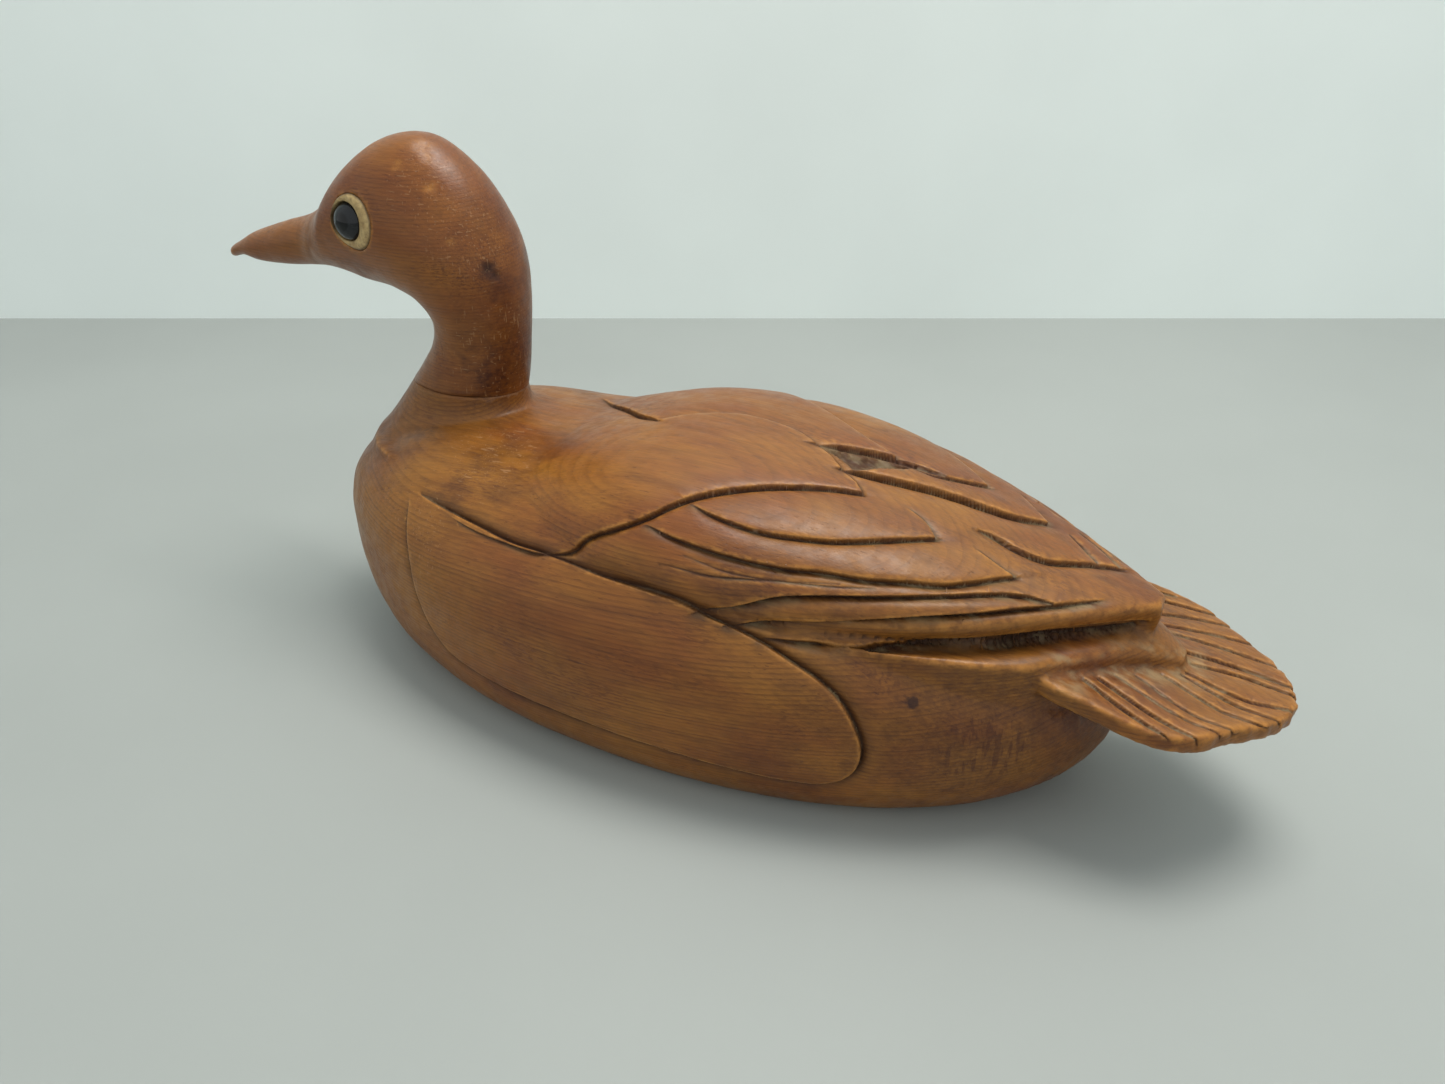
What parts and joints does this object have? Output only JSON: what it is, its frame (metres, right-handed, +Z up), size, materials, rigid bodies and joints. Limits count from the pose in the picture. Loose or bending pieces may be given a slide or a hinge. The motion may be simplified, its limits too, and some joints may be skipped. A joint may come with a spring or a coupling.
{
  "type": "floating duck decoy",
  "caption": "Carved wooden duck that floats on water, with a pegged-on head, glass eyes in putty, a ballast weight behind a screwed bottom board and a folding D-ring for the anchor line.",
  "frame": {"origin": "on the flat underside of the bottom board, on the middle plane, near the middle of the body", "axes": "+X towards the bill, +Y towards the bird's left, +Z up"},
  "size_m": [0.336, 0.123, 0.1515],
  "materials": {
    "body_wood": "stained and waxed, satin, fine open grain, dark in the carved grooves",
    "head_wood": "stained and waxed, satin, smoother than the body",
    "plain_wood": "bare turned hardwood",
    "putty": "matt tan putty, hard set",
    "eye_glass": "polished dark glass, opaque because it is painted behind",
    "steel_wire": "bare wire",
    "brass": "dull brass",
    "lead": "cast, matt grey",
    "rubber": "matt black sheet"
  },
  "bodies": {
    "decoy": {"body": "body_wood", "head": "head_wood", "neck_dowel": "plain_wood", "bottom_board": "body_wood", "board_gasket": "rubber", "board_screw_1": "brass", "board_screw_2": "brass", "board_screw_3": "brass", "board_screw_4": "brass", "board_screw_5": "brass", "board_screw_6": "brass", "ballast_weight": "lead", "ballast_screw_1": "brass", "ballast_screw_2": "brass", "left_eye_bed": "putty", "left_eye_glass": "eye_glass", "left_eye_wire": "steel_wire", "right_eye_bed": "putty", "right_eye_glass": "eye_glass", "right_eye_wire": "steel_wire", "anchor_clip": "brass", "anchor_clip_screw": "brass"},
    "line_ring": {"anchor_ring": "brass"}
  },
  "joints": [
    {"name": "anchor_ring_fold", "type": "hinge", "parent": "decoy", "child": "line_ring", "pos_m": [0.0615, 0, 0.00545], "axis": [0, 1, 0], "range_deg": [0, 115]}
  ]
}
